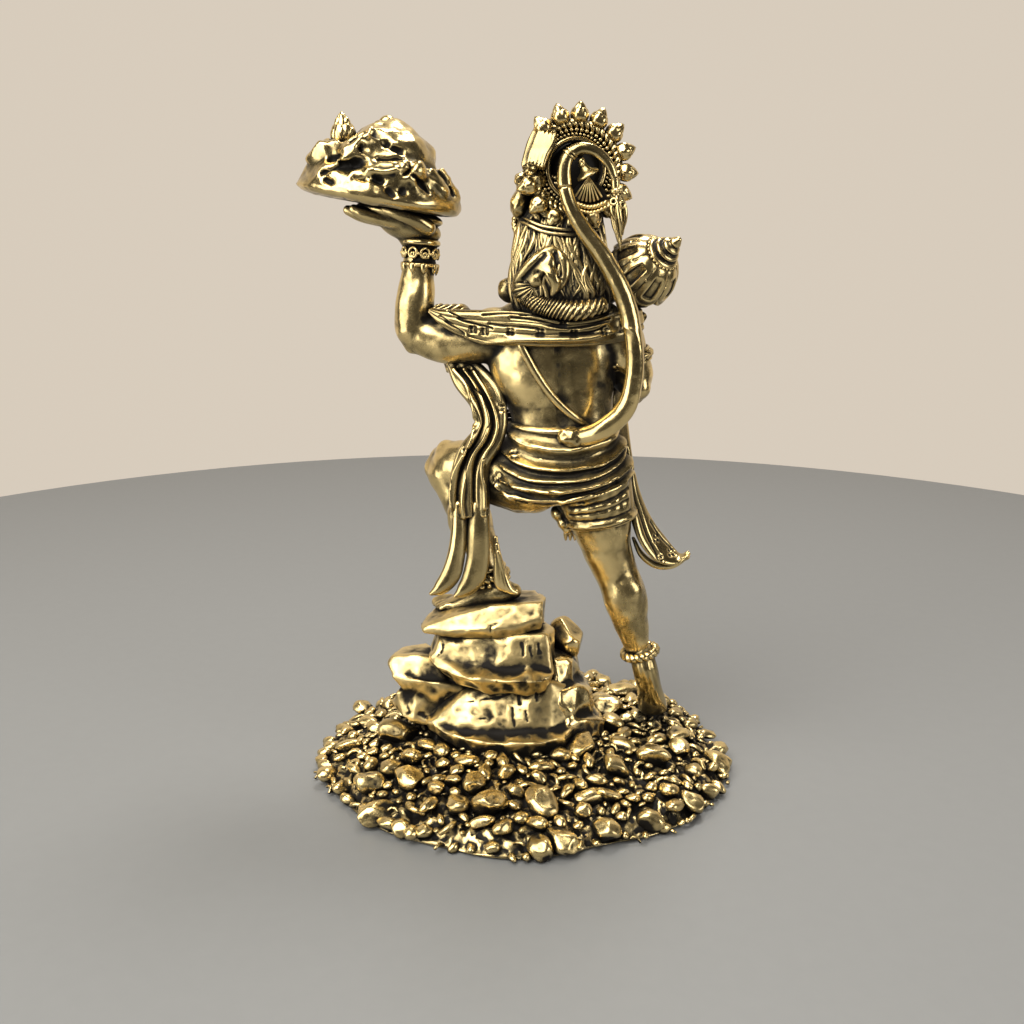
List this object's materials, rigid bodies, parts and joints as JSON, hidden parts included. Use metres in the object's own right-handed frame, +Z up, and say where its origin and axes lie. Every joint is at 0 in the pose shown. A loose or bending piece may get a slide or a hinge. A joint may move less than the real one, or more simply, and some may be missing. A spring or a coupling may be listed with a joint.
{
  "type": "hanuman figure",
  "caption": "Cast brass statuette of a striding monkey deity holding a mountain on one palm and a mace at the shoulder, on a round rocky plinth.",
  "frame": {"origin": "middle of the plinth's flat underside", "axes": "+Z up; the figure faces -Y with its back to +Y, and its left hand, with the mountain, is on the +X side"},
  "size_m": [0.0993, 0.0944, 0.1502],
  "materials": {
    "plinth_brass": "antique brass, black-brown patina between the pebbles and rubbed bright on their tops",
    "figure_brass": "antique brass, polished on the skin and the ridges, dark brown patina in the folds"
  },
  "bodies": {
    "root": {"rock_plinth": "plinth_brass", "hanuman_figure": "figure_brass"}
  },
  "joints": []
}
